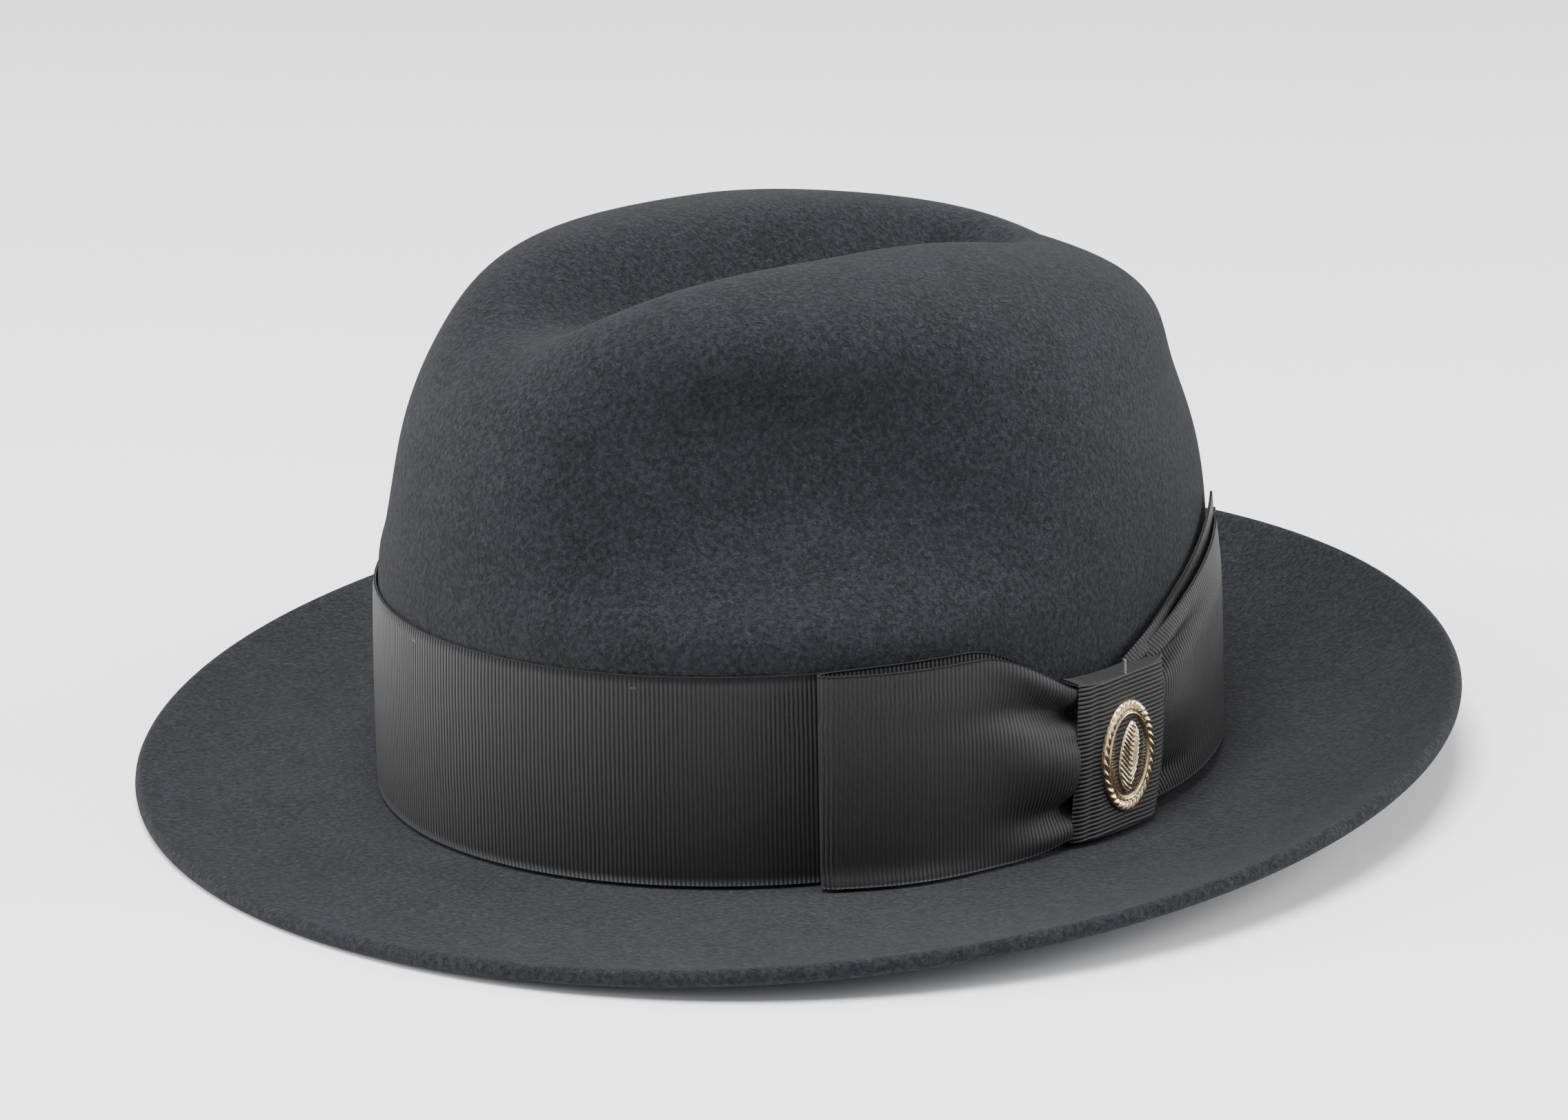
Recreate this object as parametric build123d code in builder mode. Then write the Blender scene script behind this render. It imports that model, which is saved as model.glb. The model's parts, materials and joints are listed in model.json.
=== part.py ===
"""A felt fedora hat, built as separate pieces.

Frame: the front of the hat faces -Y, the wearer's left is +X, +Z is up.
The origin is under the middle of the hat, level with the flat ring of the
underside that the hat rests on.  Lengths are in millimetres, angles in degrees.

The felt is one body: a crown wall with a lean, a domed top with a lengthwise
crease and a pinch on each side, and a brim that curls up to its edge.
Everything else is placed from the felt's own wall by a distance out from it.
"""

from build123d import *
import math
import os

os.makedirs("parts", exist_ok=True)

# ---------------------------------------------------------------- felt crown
crown_half_length = 104.0        # outside of the felt at the brim break, front to back
crown_half_width = 88.5          # outside of the felt at the brim break, side to side
crown_height = 130.0             # open crown, from the brim break to the top, before creasing
crown_roundness = 4.0            # exponent of the crown's profile: higher has squarer shoulders
wall_lean = 0.005                # how far the wall comes in for each millimetre up
felt_thickness = 2.3

crease_depth = 20.0
crease_half_width = 15.5         # half width of the crease at the middle of the hat
crease_flare = -5.5              # how much wider the crease is at the back than at the middle
crease_front = (-112.0, -36.0)   # the crease deepens between these two places, front to back
crease_back = (42.0, 62.0)       # and closes between these two
nose_rise = 5.5                  # the top rises this much towards the front
heel_drop = 7.5                  # and falls this much towards the back

pinch_depth = 16.0
pinch_angle = 62.0               # degrees round from the front to the middle of each pinch
pinch_spread = 30.0              # degrees
pinch_height = 90.0
pinch_reach = 27.0               # half height of the pinch
pinch_margin = 3.0               # plain wall left over the hatband before the pinch starts
pinch_lead = 16.0                # height over which the pinch starts

# ----------------------------------------------------------------- felt brim
brim_half_length = 160.5
brim_half_width = 156.0
brim_edge_rise = 12.2            # how far the edge's top stands over the brim break, at the sides
brim_back_lift = 10.4            # the back edge is this much higher, the front edge this much lower
brim_curl = 2.4                  # exponent of the curl: higher keeps the brim flat for longer
rest_ring_width = 9.0            # flat ring of the underside beside the head opening
edge_thickness = 4.0
edge_taper = 14.0                # the felt thickens to its edge over this width

# ------------------------------------------------------------------- ribbons
ribbon_width = 50.0
ribbon_thickness = 0.7
band_clearance = 0.25            # between the felt and the hatband
band_bottom = 1.0                # height of the hatband's lower edge over the brim
layer_clearance = 0.3            # between one layer of ribbon and the next

bow_front_angle = -27.0          # fold of the front loop, round from the wearer's left
knot_angle = 16.0                # middle of the knot
bow_rear_angle = 60.0            # edge of the rear loop
loop_puff = 4.4                  # how far the front loop's fold stands off the band
rear_puff = 5.0
waist_low = -22.5                # the loops are gathered between these two heights inside the
waist_high = 11.5                # knot, measured from the middle of the hatband
waist_thickness = 2.6
middle_puff = 0.8                # share of the puff a quarter of the way along the rear loop
end_puff = 0.7                   # and at its rear edge
tail_inset = 4.0                 # the tail's lower corner is this far inside the band's edge
loop_inset = 0.5                 # the rear loop's lower corner likewise
loop_drop = 3.0                  # and its upper corner
waist_overlap = 0.3              # degrees by which each loop passes the knot's middle
tail_rise = 8.0                  # the tail's corner stands this much over the hatband
knot_width = 27.0
knot_lip = 1.4                   # the knot reaches this far above and below what it wraps
knot_wall = 3.0
knot_clearance = 0.3
knot_shoulder = 0.6              # the knot's front and rear edges stand this much lower

# --------------------------------------------------------------------- badge
badge_half_width = 9.0
badge_half_height = 13.8
badge_thickness = 1.4
badge_drop = -1.0                # from the middle of the knot
post_radius = 0.45
post_length = 2.0
post_spacing = 13.0
post_clearance = 0.08
thread_length = 9.0
thread_radius = 0.25

# -------------------------------------------------------------------- inside
sweatband_height = 44.0
sweatband_thickness = 0.9
sweatband_clearance = 0.3
sweatband_bottom = 3.0           # above the surface that the hat rests on
reed_radius = 0.7
tape_height = 9.0
tape_thickness = 0.3
lining_thickness = 0.4
lining_clearance = 0.9           # between the felt and the lining
lining_gap = 3.0                 # between the sweatband's upper edge and the lining's lower edge
tag_width = 22.0
tag_height = 11.0
tag_thickness = 0.3
rear_bow_width = 15.0
rear_bow_height = 8.0
rear_bow_thickness = 1.6
stitch_length = 5.0
stitch_pitch = 12.0
stitch_radius = 0.28

# -------------------------------------------------------- modelling fineness
ring_points = 64                 # spline points round a full ring
crown_rings = 25
brim_rings = 7

break_height = felt_thickness    # the brim's top face at the break, over the resting plane
band_top = band_bottom + ribbon_width


# ------------------------------------------------------------ felt's formula
def ease(start, end, value):
    """0 before start, 1 after end, and a smooth S between them."""
    t = min(max((value - start) / (end - start), 0.0), 1.0)
    return t * t * (3.0 - 2.0 * t)


def dome(angle, climb):
    """Open crown, whose profile is a superellipse; climb is 0 at the base and 90 at the top."""
    across, upward = math.cos(math.radians(climb)), math.sin(math.radians(climb))
    size = (across ** crown_roundness + upward ** crown_roundness) ** (-1.0 / crown_roundness)
    z = crown_height * size * upward
    x = (crown_half_width - wall_lean * z) * size * across * math.cos(math.radians(angle))
    y = (crown_half_length - wall_lean * z) * size * across * math.sin(math.radians(angle))
    return x, y, z


def creased(x, y, z):
    """Press the lengthwise crease down into the top of the dome."""
    half_width = crease_half_width + crease_flare * y / crown_half_length
    along = ease(*crease_front, y) * (1.0 - ease(*crease_back, y))
    across = math.exp(-abs(x / half_width) ** 2.2)
    upper = ease(0.45, 0.8, z / crown_height)
    slope = nose_rise * ease(20.0, -crown_half_length, y) - heel_drop * ease(5.0, 91.0, y)
    return z + (slope - crease_depth * along * across) * upper


def pinched(x, y, z):
    """Press the two side pinches in, each a smooth hollow in the wall."""
    turn = math.degrees(math.atan2(y / crown_half_length, abs(x) / crown_half_width))
    around = math.exp(-((turn + 90.0 - pinch_angle) / pinch_spread) ** 2)
    upward = math.exp(-((z - pinch_height) / pinch_reach) ** 2)
    upward *= ease(band_top + pinch_margin, band_top + pinch_margin + pinch_lead, z)
    from_middle = math.hypot(x / crown_half_width, y / crown_half_length)
    depth = pinch_depth * around * upward * ease(0.25, 0.7, from_middle)
    normal_x = x / crown_half_width ** 2
    normal_y = y / crown_half_length ** 2
    size = math.hypot(normal_x, normal_y) + 1e-9
    return x - depth * normal_x / size, y - depth * normal_y / size


def crown_point(angle, climb):
    """A point of the crown's outer face, in the hat's frame."""
    x, y, z = dome(angle, climb)
    z = creased(x, y, z)
    x, y = pinched(x, y, z)
    return Vector(x, y, z + break_height)


def crown_normal(angle, climb):
    """Outward direction of the crown's outer face, from two short steps over it."""
    step = 0.4
    if climb > 90.0 - step:
        return Vector(0, 0, 1)
    up = crown_point(angle, climb + step) - crown_point(angle, max(climb - step, 0.0))
    round_about = crown_point(angle + step, climb) - crown_point(angle - step, climb)
    return round_about.cross(up).normalized()


def crown_offset(angle, climb, distance):
    """A point at a distance outside the crown's outer face, or inside where it is negative."""
    return crown_point(angle, climb) + crown_normal(angle, climb) * distance


def brim_point(angle, reach):
    """A point of the brim's top face; reach is 0 at the break and 1 at the edge."""
    cos_a, sin_a = math.cos(math.radians(angle)), math.sin(math.radians(angle))
    x = (crown_half_width + (brim_half_width - crown_half_width) * reach) * cos_a
    y = (crown_half_length + (brim_half_length - crown_half_length) * reach) * sin_a
    rise = brim_edge_rise + brim_back_lift * sin_a
    return Vector(x, y, break_height + rise * reach ** brim_curl)


def brim_under(angle, reach):
    """A point of the brim's underside, straight below; the felt thickens towards its edge."""
    width = brim_half_width - crown_half_width
    from_edge = (1.0 - reach) * width
    extra = (edge_thickness - felt_thickness) * (1.0 - ease(0.0, edge_taper, from_edge))
    return brim_point(angle, reach) - Vector(0, 0, felt_thickness + extra)


# --------------------------------------------------------------- ring makers
def ring(point_at):
    """Closed smooth ring through point_at(angle), with its points at even parameters."""
    points = [point_at(360.0 * i / ring_points) for i in range(ring_points)]
    even = [i / ring_points for i in range(ring_points + 1)]
    return Wire([Edge.make_spline(points, periodic=True, parameters=even)])


def climbs(start, end):
    """Climbs from start to end: the felt's own evenly spaced rings that lie between them."""
    own = [90.0 * i / crown_rings for i in range(crown_rings + 1)]
    return [start] + [c for c in own if start + 0.8 < c < end - 0.8] + [end]


def climb_at(height):
    """Climb at which the open crown has this height over the brim break."""
    share = height / crown_height
    reach = (1.0 - share ** crown_roundness) ** (1.0 / crown_roundness)
    return math.degrees(math.atan2(share, reach))


def crown_rings_at(distance, levels):
    """Rings at a distance from the crown's outer face; a level of 90 gives the pole's point."""
    rings = [ring(lambda a, c=c: crown_offset(a, c, distance)) for c in levels if c < 90.0]
    if levels[-1] >= 90.0:
        rings.append(Vertex(*crown_offset(0.0, 90.0, distance)))
    return rings


def closed_body(*surfaces):
    """Solid inside the given surfaces, which meet edge to edge."""
    faces = [face for surface in surfaces for face in surface.faces()]
    return Solid(Shell(faces))


# ----------------------------------------------------------------- felt body
def felt_solid():
    """Crown and brim as one piece of felt, of even thickness up to the thicker edge."""
    flat_reach = rest_ring_width / (brim_half_width - crown_half_width)
    head = ring(lambda a: head_point(a))
    base = ring(lambda a: crown_point(a, 0.0))
    edge_top = ring(lambda a: brim_point(a, 1.0))
    edge_low = ring(lambda a: brim_under(a, 1.0))
    rest = ring(lambda a: Vector(brim_under(a, flat_reach).X, brim_under(a, flat_reach).Y, 0.0))
    steps = [i / brim_rings for i in range(1, brim_rings)]
    top_rings = [base] + [ring(lambda a, r=r: brim_point(a, r)) for r in steps] + [edge_top]
    low_steps = [flat_reach + (1.0 - flat_reach) * s for s in steps]
    low_rings = [rest] + [ring(lambda a, r=r: brim_under(a, r)) for r in low_steps] + [edge_low]
    levels = climbs(0.0, 90.0)[1:]
    outer = [base] + crown_rings_at(0.0, levels)
    inner = [head] + crown_rings_at(-felt_thickness, levels)
    return closed_body(
        Shell.make_loft(outer),
        Shell.make_loft(top_rings),
        Shell.make_loft([edge_top, edge_low], ruled=True),
        Shell.make_loft(low_rings),
        Face(rest, [head]),
        Shell.make_loft(inner),
    )


def head_point(angle):
    """The head opening's rim, level with the underside of the brim."""
    point = crown_offset(angle, 0.0, -felt_thickness)
    return Vector(point.X, point.Y, 0.0)


with BuildPart() as felt_body:
    add(felt_solid())


# ---------------------------------------------------- pieces on the wall
def wall_frame(angle, height):
    """Plane across the wall at an angle and a height: x is outwards, y is up the wall."""
    climb = climb_at(height)
    outward = crown_normal(angle, climb)
    backward = crown_offset(angle - 0.4, climb, 0.0) - crown_offset(angle + 0.4, climb, 0.0)
    return Plane(origin=crown_point(angle, climb), x_dir=outward, z_dir=backward.normalized())


def level_point(angle, climb, distance):
    """Like crown_offset, kept at the height of the wall point that it starts from."""
    point = crown_offset(angle, climb, distance)
    return Vector(point.X, point.Y, crown_point(angle, climb).Z)


def wall_tube(low, high, inside, outside):
    """Upright strip round the crown wall between two heights and two distances."""
    levels = climbs(climb_at(low), climb_at(high))
    walls = []
    for distance in (outside, inside):
        rings = [ring(lambda a, c=c: level_point(a, c, distance)) for c in levels]
        walls.append(Solid.make_loft(rings))
    return walls[0] - walls[1]


band_inside = band_clearance
band_outside = band_inside + ribbon_thickness
band_middle = band_bottom + ribbon_width / 2

with BuildPart() as hatband:
    add(wall_tube(band_bottom, band_top, band_inside, band_outside))

on_band = band_outside + layer_clearance


def strip_sections(stations):
    """Sections, across the wall, of a strip that runs round the hatband.

    Each station is (angle, inside, outside, low, high): an angle round the hat,
    two distances out from the felt and two heights over the middle of the hatband.
    """
    sections = []
    for angle, inside, outside, low, high in stations:
        with BuildSketch(wall_frame(angle, band_middle)) as section:
            with Locations(((inside + outside) / 2, (low + high) / 2)):
                Rectangle(outside - inside, high - low)
        sections.append(section.sketch)
    return sections


def degrees_along(length):
    """Turn round the crown, at the knot, that covers a length on the hatband."""
    here = crown_point(knot_angle, climb_at(band_middle))
    there = crown_point(knot_angle + 1.0, climb_at(band_middle))
    return length / (there - here).length


knot_half_turn = degrees_along(knot_width / 2)
knot_front = knot_angle - knot_half_turn
knot_rear = knot_angle + knot_half_turn
half_ribbon = ribbon_width / 2

tail_layer = on_band + ribbon_thickness
loop_base = tail_layer + layer_clearance
waist_outside = loop_base + waist_thickness

rear_span = bow_rear_angle - knot_rear
rear_one = knot_rear + 0.25 * rear_span
rear_two = knot_rear + 0.5 * rear_span
rear_three = knot_rear + 0.75 * rear_span
rear_top = loop_base + rear_puff


def spread(share, end_low, end_high):
    """Lower and upper edge of a ribbon that fans out from the waist; share is 0 to 1."""
    grown = math.sin(math.radians(90.0 * share))
    return waist_low + (end_low - waist_low) * grown, waist_high + (end_high - waist_high) * grown


tail_top = half_ribbon + tail_rise
tail_low = tail_inset - half_ribbon
loop_low = loop_inset - half_ribbon
loop_high = half_ribbon - loop_drop
with BuildPart() as bow_tail:
    loft(strip_sections([
        (knot_angle + waist_overlap, on_band, tail_layer, waist_low, waist_high),
        (knot_rear, on_band, tail_layer, waist_low, waist_high),
        (rear_one, on_band, tail_layer, *spread(0.25, tail_low, tail_top)),
        (rear_two, on_band, tail_layer, *spread(0.5, tail_low, tail_top)),
        (rear_three, on_band, tail_layer, *spread(0.75, tail_low, tail_top)),
        (bow_rear_angle, on_band, tail_layer, *spread(1.0, tail_low, tail_top)),
    ]))

with BuildPart() as bow_rear_loop:
    loft(strip_sections([
        (knot_angle + waist_overlap, loop_base, waist_outside, waist_low, waist_high),
        (knot_rear, loop_base, waist_outside, waist_low, waist_high),
        (rear_one, loop_base, loop_base + middle_puff * rear_puff, *spread(0.25, loop_low, loop_high)),
        (rear_two, loop_base, rear_top, *spread(0.5, loop_low, loop_high)),
        (rear_three, loop_base, rear_top, *spread(0.75, loop_low, loop_high)),
        (bow_rear_angle, loop_base, loop_base + end_puff * rear_puff, *spread(1.0, loop_low, loop_high)),
    ]))

front_span = knot_front - bow_front_angle
front_one = knot_front - 0.25 * front_span
front_two = knot_front - 0.5 * front_span
front_three = knot_front - 0.75 * front_span
front_top = loop_base + loop_puff
with BuildPart() as bow_front_loop:
    loft(strip_sections([
        (bow_front_angle, loop_base, front_top, *spread(1.0, -half_ribbon, half_ribbon)),
        (front_three, loop_base, front_top, *spread(0.85, -half_ribbon, half_ribbon)),
        (front_two, loop_base, front_top, *spread(0.6, -half_ribbon, half_ribbon)),
        (front_one, loop_base, front_top, *spread(0.3, -half_ribbon, half_ribbon)),
        (knot_front, loop_base, waist_outside, waist_low, waist_high),
        (knot_angle - waist_overlap, loop_base, waist_outside, waist_low, waist_high),
    ]))

knot_inside = waist_outside + knot_clearance
knot_outside = knot_inside + knot_wall
channel_low = waist_low - knot_clearance
channel_high = waist_high + knot_clearance
knot_low = channel_low - knot_lip
knot_high = channel_high + knot_lip
knot_middle = (knot_low + knot_high) / 2

with BuildPart() as bow_knot:
    loft(strip_sections([
        (knot_front, on_band, knot_outside - knot_shoulder, knot_low, knot_high),
        (knot_angle, on_band, knot_outside, knot_low, knot_high),
        (knot_rear, on_band, knot_outside - knot_shoulder, knot_low, knot_high),
    ]))

with BuildPart() as knot_channel:
    loft(strip_sections([
        (knot_front - 2.0, on_band - 0.1, knot_inside, channel_low, channel_high),
        (knot_angle, on_band - 0.1, knot_inside, channel_low, channel_high),
        (knot_rear + 2.0, on_band - 0.1, knot_inside, channel_low, channel_high),
    ]))

# ---------------------------------------------------------------- the badge
badge_seat = knot_outside + layer_clearance
badge_frame = wall_frame(knot_angle, band_middle)
badge_plane = Plane(
    origin=(badge_frame.origin + badge_frame.x_dir * badge_seat
            + badge_frame.y_dir * (knot_middle + badge_drop)),
    x_dir=-badge_frame.z_dir,
    z_dir=badge_frame.x_dir,
)
post_places = [(0, -post_spacing / 2), (0, post_spacing / 2)]

with BuildPart(badge_plane) as badge_plate:
    with BuildSketch(badge_plane):
        Ellipse(badge_half_width, badge_half_height)
    extrude(amount=badge_thickness)
    fillet(badge_plate.faces().sort_by(Axis(badge_plane.origin, badge_plane.z_dir))[-1].edges(), 0.5)

with BuildPart() as badge_posts:
    with BuildSketch(badge_plane):
        with Locations(*post_places):
            Circle(post_radius)
    extrude(amount=-post_length)

with BuildPart() as post_holes:
    with BuildSketch(badge_plane):
        with Locations(*post_places):
            Circle(post_radius + post_clearance)
    extrude(amount=-(post_length + layer_clearance))

with BuildPart() as knot_finished:
    add(bow_knot.part)
    add(knot_channel.part, mode=Mode.SUBTRACT)
    add(post_holes.part, mode=Mode.SUBTRACT)

thread_start = Plane(
    origin=badge_plane.origin + badge_plane.y_dir * (badge_half_height + 0.4),
    x_dir=badge_plane.x_dir,
    z_dir=badge_plane.y_dir,
)
with BuildPart() as badge_thread:
    with BuildSketch(thread_start):
        Circle(thread_radius)
    extrude(amount=thread_length)

# ------------------------------------------------------- pieces in the crown
inner_wall = -felt_thickness
tape_outside = inner_wall - sweatband_clearance
tape_inside = tape_outside - tape_thickness
band_back = tape_inside - sweatband_clearance
band_face = band_back - sweatband_thickness
reed_middle = (band_back + band_face) / 2
inside_bottom = sweatband_bottom - break_height

with BuildPart() as sweatband:
    add(wall_tube(
        inside_bottom + 2.0 * reed_radius + sweatband_clearance + 1.0,
        sweatband_height, band_face, band_back))

with BuildPart() as reed_tape:
    add(wall_tube(inside_bottom + 1.0, inside_bottom + 1.0 + tape_height, tape_inside, tape_outside))

with BuildPart() as sweatband_reed:
    reed_climb = climb_at(inside_bottom + 1.0 + reed_radius)
    reed_path = ring(lambda a: level_point(a, reed_climb, reed_middle))
    reed_start = reed_path.edges()[0]
    with BuildSketch(Plane(origin=reed_start @ 0, z_dir=reed_start % 0)):
        Circle(reed_radius)
    sweep(path=reed_path)

lining_start = sweatband_height + lining_gap
lining_outside = inner_wall - lining_clearance
lining_inside = lining_outside - lining_thickness


def lining_skin():
    """Thin bag that follows the crown from above the sweatband to the top."""
    levels = climbs(climb_at(lining_start), 90.0)
    outer = crown_rings_at(lining_outside, levels)
    inner = crown_rings_at(lining_inside, levels)
    lower_edge = Shell.make_loft([outer[0], inner[0]], ruled=True)
    return closed_body(Shell.make_loft(outer), Shell.make_loft(inner), lower_edge)


with BuildPart() as lining:
    add(lining_skin())

# the tag, the bow over the seam and the seam's own stitches, at the back of the sweatband
back_angle = 90.0
tag_middle = 24.0
seam_face = band_face - layer_clearance
back_radius = crown_half_width ** 2 / crown_half_length


def flat_seat(half_width):
    """Distance from the felt at which a flat piece this wide clears the round sweatband."""
    return seam_face - half_width ** 2 / (2.0 * (back_radius - 12.0))




def inside_plane(angle, height, distance):
    """Plane on the inside of the wall: x is round the hat, y is up, z is towards its middle."""
    frame = wall_frame(angle, height)
    return Plane(origin=frame.origin + frame.x_dir * distance, x_dir=frame.z_dir, z_dir=-frame.x_dir)


tag_angle = back_angle + 24.0
with BuildPart() as size_tag:
    with BuildSketch(inside_plane(tag_angle, tag_middle, flat_seat(tag_width / 2))):
        RectangleRounded(tag_width, tag_height, 1.2)
    extrude(amount=tag_thickness)

with BuildPart() as sweatband_rear_bow:
    half_bow = rear_bow_width / 2
    bow_plane = inside_plane(back_angle, 14.0, flat_seat(half_bow))
    with BuildSketch(bow_plane):
        with BuildLine():
            Polyline(
                (0, 1.2), (half_bow, rear_bow_height / 2), (half_bow, -rear_bow_height / 2),
                (0, -1.2), (-half_bow, -rear_bow_height / 2), (-half_bow, rear_bow_height / 2),
                close=True)
        make_face()
    extrude(amount=rear_bow_thickness)

seam_count = 8
with BuildPart() as sweatband_seam:
    for index in range(seam_count):
        height = 19.5 + index * 3.0
        with BuildSketch(inside_plane(back_angle, height, seam_face)):
            with Locations(Location((0, 0), 35.0 if index % 2 else -35.0)):
                SlotOverall(stitch_length, 2 * stitch_radius)
        extrude(amount=2 * stitch_radius)

stitch_height = inside_bottom + 6.0
stitch_count = int(2 * math.pi * math.sqrt(crown_half_length * crown_half_width) / stitch_pitch)
with BuildPart() as sweatband_stitches:
    for index in range(stitch_count):
        angle = 360.0 * (index + 0.5) / stitch_count
        with BuildSketch(inside_plane(angle, stitch_height, seam_face)):
            SlotOverall(stitch_length, 2 * stitch_radius)
        extrude(amount=2 * stitch_radius)

# short tacks that hold the hatband to the felt, a little below its upper edge
tack_angles = [-150.0, -90.0, -50.0, 90.0, 130.0, 170.0]
with BuildPart() as hatband_tacks:
    for angle in tack_angles:
        frame = wall_frame(angle, band_top - 3.0)
        face = Plane(
            origin=frame.origin + frame.x_dir * (band_outside + 0.05),
            x_dir=-frame.z_dir, z_dir=frame.x_dir)
        with BuildSketch(face):
            SlotOverall(1.6, 0.5)
        extrude(amount=0.25)

finished = {
    "felt_body": felt_body.part,
    "hatband": hatband.part,
    "hatband_tacks": hatband_tacks.part,
    "bow_front_loop": bow_front_loop.part,
    "bow_rear_loop": bow_rear_loop.part,
    "bow_tail": bow_tail.part,
    "bow_knot": knot_finished.part,
    "badge_plate": badge_plate.part,
    "badge_posts": badge_posts.part,
    "badge_thread": badge_thread.part,
    "sweatband": sweatband.part,
    "sweatband_reed": sweatband_reed.part,
    "reed_tape": reed_tape.part,
    "sweatband_rear_bow": sweatband_rear_bow.part,
    "sweatband_seam": sweatband_seam.part,
    "sweatband_stitches": sweatband_stitches.part,
    "lining": lining.part,
    "size_tag": size_tag.part,
}
for label, piece in finished.items():
    piece.label = label
    export_step(piece, f"parts/{label}.step")
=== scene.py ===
"""A felt fedora with a ribbon band, a side bow and an oval pin.

The front of the hat faces -Y, the wearer's left is +X and +Z is up.  The felt is
one sheet: a crown whose profile is a superellipse, pressed in by a lengthwise
crease and two side pinches, and a brim that curls up to a rounded edge.
Ribbons lie on the crown's wall at a distance out from the felt.
"""

import json
import math

import bpy
import numpy as np
from mathutils import Matrix, Vector


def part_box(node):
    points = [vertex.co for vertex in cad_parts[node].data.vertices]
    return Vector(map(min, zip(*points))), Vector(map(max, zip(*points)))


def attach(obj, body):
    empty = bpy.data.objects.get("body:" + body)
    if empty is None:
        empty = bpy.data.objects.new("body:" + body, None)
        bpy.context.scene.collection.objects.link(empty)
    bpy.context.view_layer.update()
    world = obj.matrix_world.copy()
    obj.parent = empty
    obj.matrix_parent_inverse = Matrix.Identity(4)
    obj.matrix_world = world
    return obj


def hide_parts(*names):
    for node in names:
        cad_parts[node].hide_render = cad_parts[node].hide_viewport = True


bl_info = {
    "name": "Felt Fedora",
    "version": (1, 0, 0),
    "blender": (4, 5, 0),
    "location": "3D View > Sidebar > Fedora",
    "description": "Builds a felt fedora with a ribbon band, bow and pin around its fixed frame",
    "category": "Add Mesh",
}

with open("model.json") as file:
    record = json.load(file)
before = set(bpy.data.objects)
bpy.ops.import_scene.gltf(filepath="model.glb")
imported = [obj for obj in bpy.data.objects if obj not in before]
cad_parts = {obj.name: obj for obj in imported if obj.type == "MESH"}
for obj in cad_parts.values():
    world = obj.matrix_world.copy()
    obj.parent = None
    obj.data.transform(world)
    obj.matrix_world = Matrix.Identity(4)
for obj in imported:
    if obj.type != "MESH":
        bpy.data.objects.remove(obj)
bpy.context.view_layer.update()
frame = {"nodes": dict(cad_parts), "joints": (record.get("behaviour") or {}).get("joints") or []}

FELT_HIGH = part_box("felt_body")[1]
HAT, BADGE = "hat", "badge"


# ------------------------------------------------------------------ user values
class FedoraFelt(bpy.types.PropertyGroup):
    """Sizes and colours of the felt."""

    crown_half_length: bpy.props.FloatProperty(
        name="Crown half length", description="Felt at the brim break, front to back",
        default=0.104, unit="LENGTH")
    crown_half_width: bpy.props.FloatProperty(
        name="Crown half width", description="Felt at the brim break, side to side",
        default=0.0885, unit="LENGTH")
    crown_height: bpy.props.FloatProperty(
        name="Open crown height", description="Height of the crown before it is creased",
        default=0.130, unit="LENGTH")
    roundness: bpy.props.FloatProperty(
        name="Roundness", description="Exponent of the crown's profile; higher is squarer",
        default=4.0)
    lean: bpy.props.FloatProperty(
        name="Wall lean", description="How far the wall comes in for its height", default=0.005)
    thickness: bpy.props.FloatProperty(
        name="Felt thickness", description="Thickness of the felt", default=0.0023, unit="LENGTH")
    edge_thickness: bpy.props.FloatProperty(
        name="Edge thickness", description="Thickness of the brim at its edge",
        default=0.004, unit="LENGTH")
    crease_depth: bpy.props.FloatProperty(
        name="Crease depth", description="Depth of the crease along the top",
        default=0.020, unit="LENGTH")
    crease_half_width: bpy.props.FloatProperty(
        name="Crease half width", description="Half width of the crease at the middle",
        default=0.0155, unit="LENGTH")
    pinch_depth: bpy.props.FloatProperty(
        name="Pinch depth", description="Depth of the hollow on each side",
        default=0.020, unit="LENGTH")
    brim_rise: bpy.props.FloatProperty(
        name="Brim rise", description="Height of the brim's edge over the break, at the sides",
        default=0.0122, unit="LENGTH")
    brim_lift: bpy.props.FloatProperty(
        name="Brim back lift", description="How much higher the back edge is",
        default=0.0104, unit="LENGTH")
    colour: bpy.props.FloatVectorProperty(
        name="Felt colour", description="Colour of the felt", subtype="COLOR", size=3,
        default=(0.0118, 0.0122, 0.0145))
    nap_colour: bpy.props.FloatVectorProperty(
        name="Nap colour", description="Colour of the loose fibres on the felt",
        subtype="COLOR", size=3, default=(0.062, 0.063, 0.069))


class FedoraRibbon(bpy.types.PropertyGroup):
    """Sizes and colours of the ribbons."""

    thickness: bpy.props.FloatProperty(
        name="Ribbon thickness", description="Thickness of the ribbon", default=0.0006,
        unit="LENGTH")
    rib_pitch: bpy.props.FloatProperty(
        name="Rib pitch", description="Distance from one rib to the next", default=0.00105,
        unit="LENGTH")
    fold_stand: bpy.props.FloatProperty(
        name="Fold stand-off", description="How far the front fold stands off the band",
        default=0.0052, unit="LENGTH")
    colour: bpy.props.FloatVectorProperty(
        name="Ribbon colour", description="Colour of the grosgrain", subtype="COLOR", size=3,
        default=(0.0130, 0.0129, 0.0128))
    # painted shade: the grooves between the ribs get this darker colour in place of the shade that
    # falls in them
    painted_groove_shade: bpy.props.FloatVectorProperty(
        name="Groove colour", description="Colour between the ribs", subtype="COLOR", size=3,
        default=(0.0030, 0.0030, 0.0030))


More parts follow.
